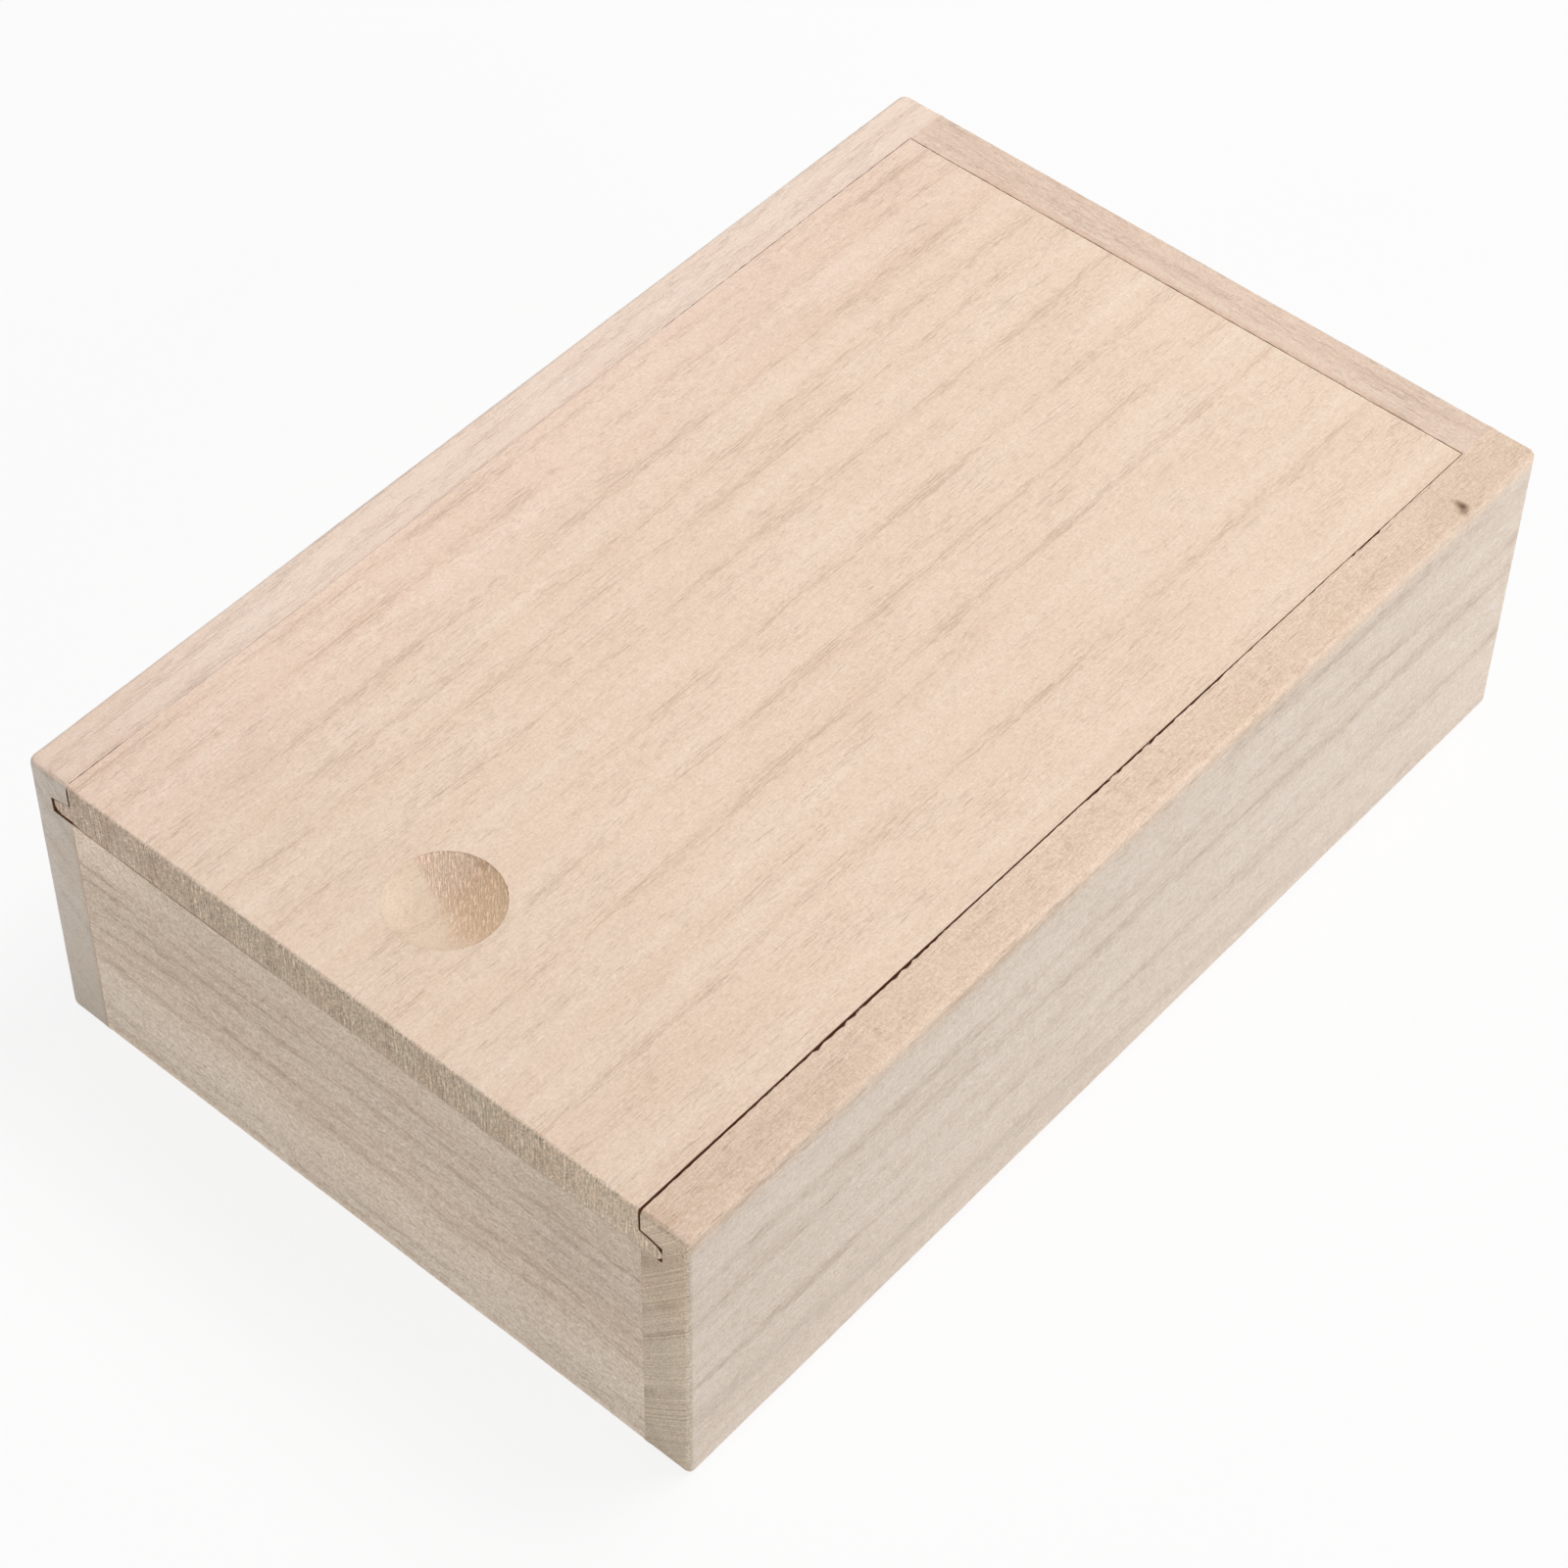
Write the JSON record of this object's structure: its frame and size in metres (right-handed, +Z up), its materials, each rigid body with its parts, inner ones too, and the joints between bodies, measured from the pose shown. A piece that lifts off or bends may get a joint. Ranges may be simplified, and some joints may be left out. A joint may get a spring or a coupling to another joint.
{
  "type": "sliding lid box",
  "caption": "Rectangular wooden box with a flat lid that slides out of grooves in the side walls by a round finger scoop.",
  "frame": {"origin": "on the table, under the middle of the box", "axes": "+Z up, +Y from the open front towards the back board, +X to the right as seen from the front"},
  "size_m": [0.12, 0.185, 0.054],
  "materials": {
    "left_wall": "sanded bare wood, pale cream, fine grain along the board",
    "right_wall": "sanded bare wood, pinkish cream, short dark pores along the board",
    "front_board": "sanded bare wood, greyish cream, grain lines across the front",
    "back_board": "sanded bare wood, light tan, rippled grain along the board",
    "bottom_panel": "sanded bare wood, pale cream",
    "lid": "sanded bare wood, pale beige, straight stripes from front to back"
  },
  "bodies": {
    "box": {"left_wall": "left_wall", "right_wall": "right_wall", "front_board": "front_board", "back_board": "back_board", "bottom_panel": "bottom_panel"},
    "lid": {"lid": "lid"}
  },
  "joints": [
    {"name": "lid_slide", "type": "slide", "parent": "box", "child": "lid", "axis": [0, -1, 0], "range_m": [0, 0.19]}
  ]
}
